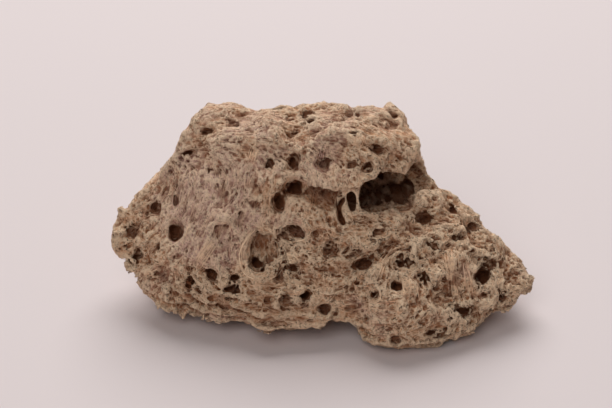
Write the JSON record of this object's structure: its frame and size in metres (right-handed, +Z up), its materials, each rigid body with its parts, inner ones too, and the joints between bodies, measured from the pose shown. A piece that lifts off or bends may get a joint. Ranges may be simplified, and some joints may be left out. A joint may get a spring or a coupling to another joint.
{
  "type": "pumice stone",
  "caption": "Lump of fibrous pumice with burst bubbles, a pitted overhang over a dark hollow, and a flat foot to rest on.",
  "frame": {"origin": "on the surface the stone rests on, under the middle of its box", "axes": "+Z up, +X along the long axis towards the low lobe with the round eye, -Y towards the side with the hollow"},
  "size_m": [0.0819, 0.042, 0.0396],
  "materials": {
    "pumice": "dry, matt volcanic glass froth: tan-brown with greyer patches, cream fibres and near-black pits"
  },
  "bodies": {
    "root": {"pumice_stone": "pumice"}
  },
  "joints": []
}
